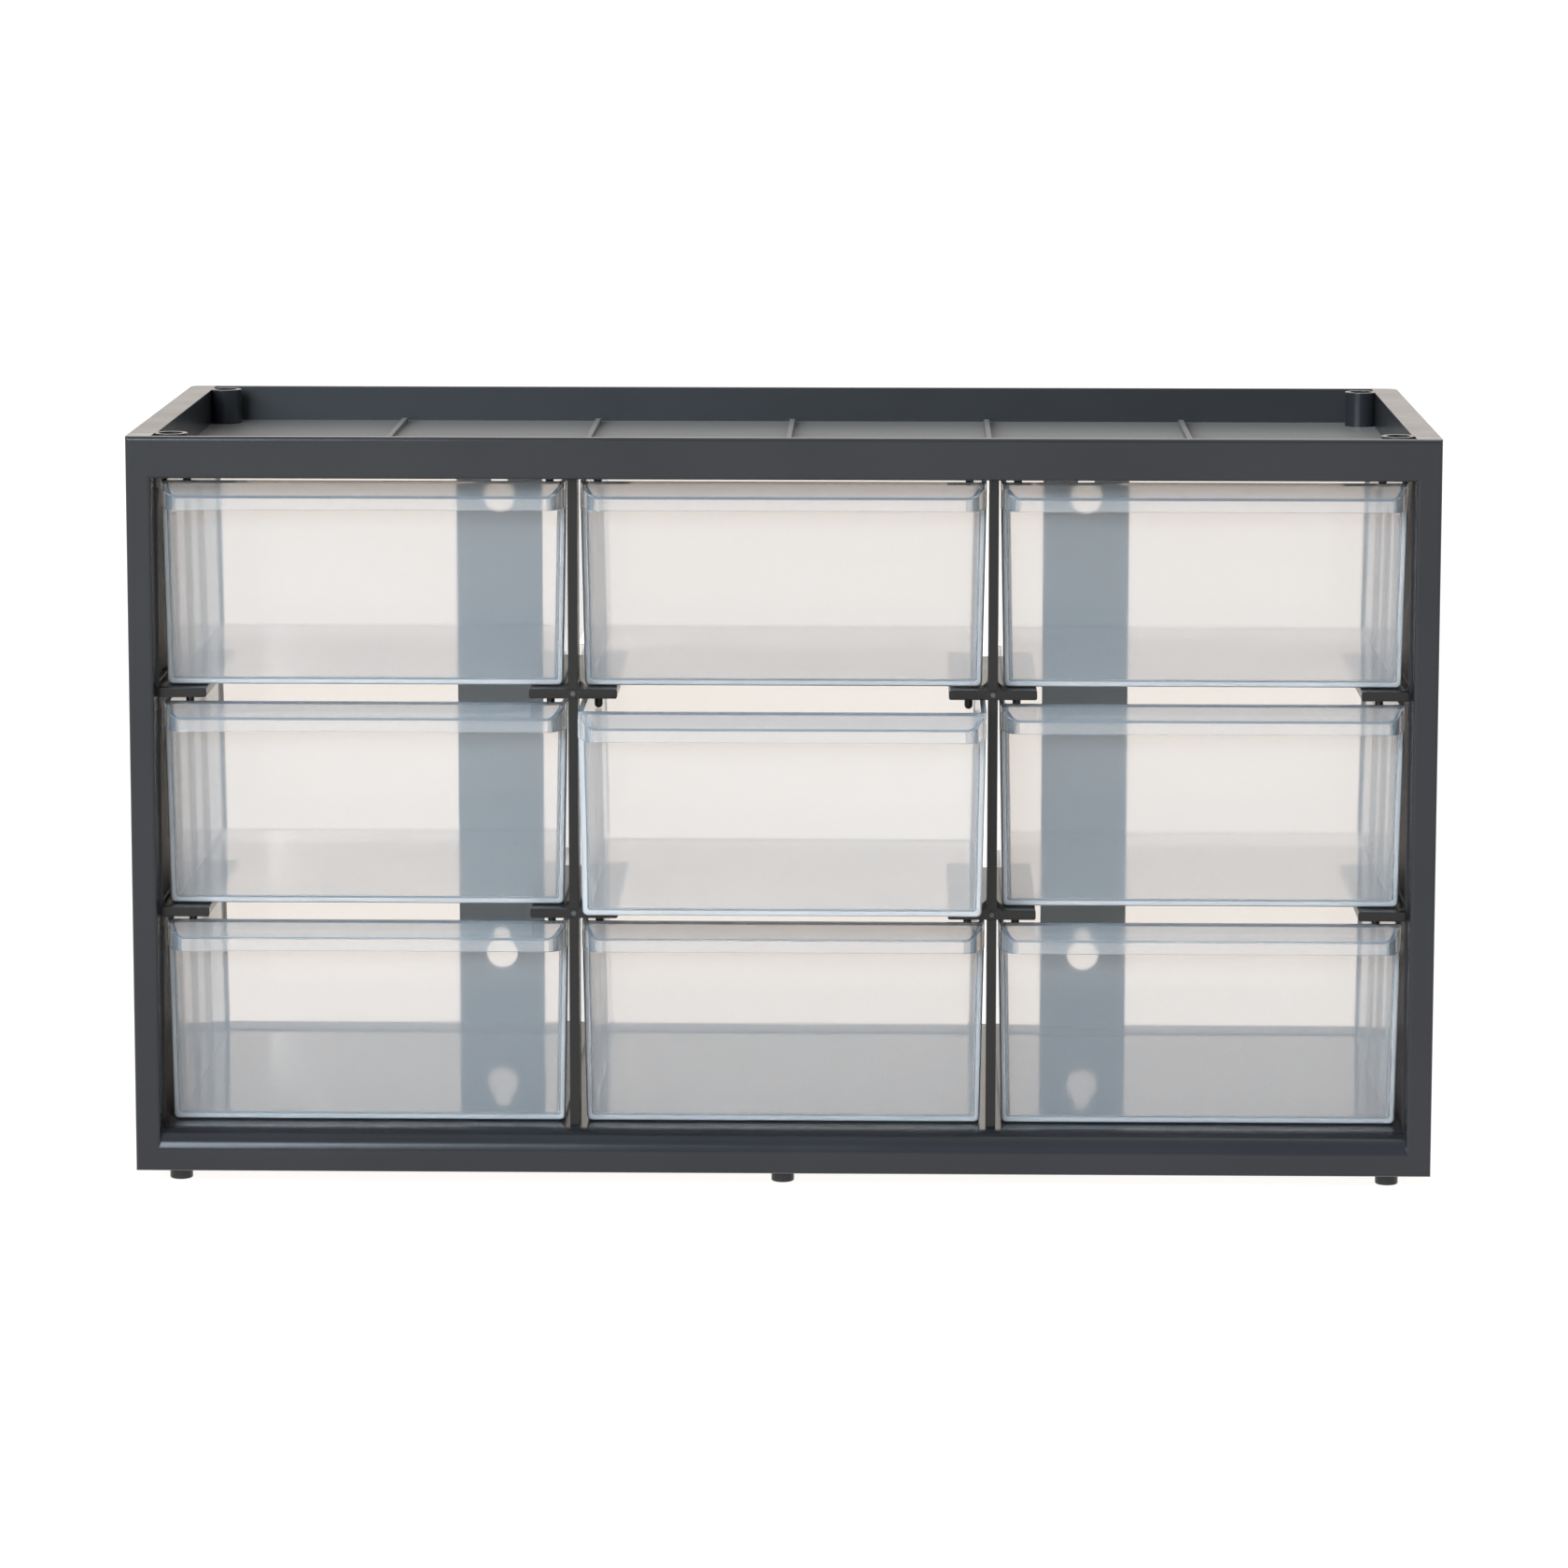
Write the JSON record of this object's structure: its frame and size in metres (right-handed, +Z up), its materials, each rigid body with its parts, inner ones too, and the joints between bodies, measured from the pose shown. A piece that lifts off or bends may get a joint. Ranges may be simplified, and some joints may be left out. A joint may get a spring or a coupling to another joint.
{
  "type": "parts organizer",
  "caption": "Stackable desktop cabinet with a grid of clear pull-out drawers for small parts, an open tray on top, and keyholes in its back.",
  "frame": {"origin": "centre of the cabinet's footprint, at the level that its feet stand on", "axes": "+X to the right, +Y to the back, so the drawers open towards -Y, and +Z up"},
  "size_m": [0.365, 0.1684, 0.2125],
  "materials": {
    "charcoal_shell": "smooth satin-gloss moulded plastic, charcoal",
    "clear_drawer": "clear moulded plastic with a faint cool tint, polished"
  },
  "bodies": {
    "cabinet": {"front_frame": "charcoal_shell", "top_tray": "charcoal_shell", "bottom_panel": "charcoal_shell", "left_side_panel": "charcoal_shell", "right_side_panel": "charcoal_shell", "left_back_strap": "charcoal_shell", "right_back_strap": "charcoal_shell", "left_post": "charcoal_shell", "right_post": "charcoal_shell", "left_post_runner_lower": "charcoal_shell", "left_post_runner_upper": "charcoal_shell", "right_post_runner_lower": "charcoal_shell", "right_post_runner_upper": "charcoal_shell", "left_side_runner_lower": "charcoal_shell", "left_side_runner_upper": "charcoal_shell", "right_side_runner_lower": "charcoal_shell", "right_side_runner_upper": "charcoal_shell", "stacking_sockets": "charcoal_shell", "stacking_pegs": "charcoal_shell"},
    "drawer_bottom_left": {"drawer_bottom_left": "clear_drawer"},
    "drawer_bottom_centre": {"drawer_bottom_centre": "clear_drawer"},
    "drawer_bottom_right": {"drawer_bottom_right": "clear_drawer"},
    "drawer_middle_left": {"drawer_middle_left": "clear_drawer"},
    "drawer_middle_centre": {"drawer_middle_centre": "clear_drawer"},
    "drawer_middle_right": {"drawer_middle_right": "clear_drawer"},
    "drawer_top_left": {"drawer_top_left": "clear_drawer"},
    "drawer_top_centre": {"drawer_top_centre": "clear_drawer"},
    "drawer_top_right": {"drawer_top_right": "clear_drawer"}
  },
  "joints": [
    {"name": "drawer_bottom_left_slide", "type": "slide", "parent": "cabinet", "child": "drawer_bottom_left", "axis": [0, -1, 0], "range_m": [0, 0.115]},
    {"name": "drawer_bottom_centre_slide", "type": "slide", "parent": "cabinet", "child": "drawer_bottom_centre", "axis": [0, -1, 0], "range_m": [0, 0.115]},
    {"name": "drawer_bottom_right_slide", "type": "slide", "parent": "cabinet", "child": "drawer_bottom_right", "axis": [0, -1, 0], "range_m": [0, 0.115]},
    {"name": "drawer_middle_left_slide", "type": "slide", "parent": "cabinet", "child": "drawer_middle_left", "axis": [0, -1, 0], "range_m": [0, 0.115]},
    {"name": "drawer_middle_centre_slide", "type": "slide", "parent": "cabinet", "child": "drawer_middle_centre", "axis": [0, -1, 0], "range_m": [-0.018, 0.097]},
    {"name": "drawer_middle_right_slide", "type": "slide", "parent": "cabinet", "child": "drawer_middle_right", "axis": [0, -1, 0], "range_m": [0, 0.115]},
    {"name": "drawer_top_left_slide", "type": "slide", "parent": "cabinet", "child": "drawer_top_left", "axis": [0, -1, 0], "range_m": [0, 0.115]},
    {"name": "drawer_top_centre_slide", "type": "slide", "parent": "cabinet", "child": "drawer_top_centre", "axis": [0, -1, 0], "range_m": [0, 0.115]},
    {"name": "drawer_top_right_slide", "type": "slide", "parent": "cabinet", "child": "drawer_top_right", "axis": [0, -1, 0], "range_m": [0, 0.115]}
  ]
}
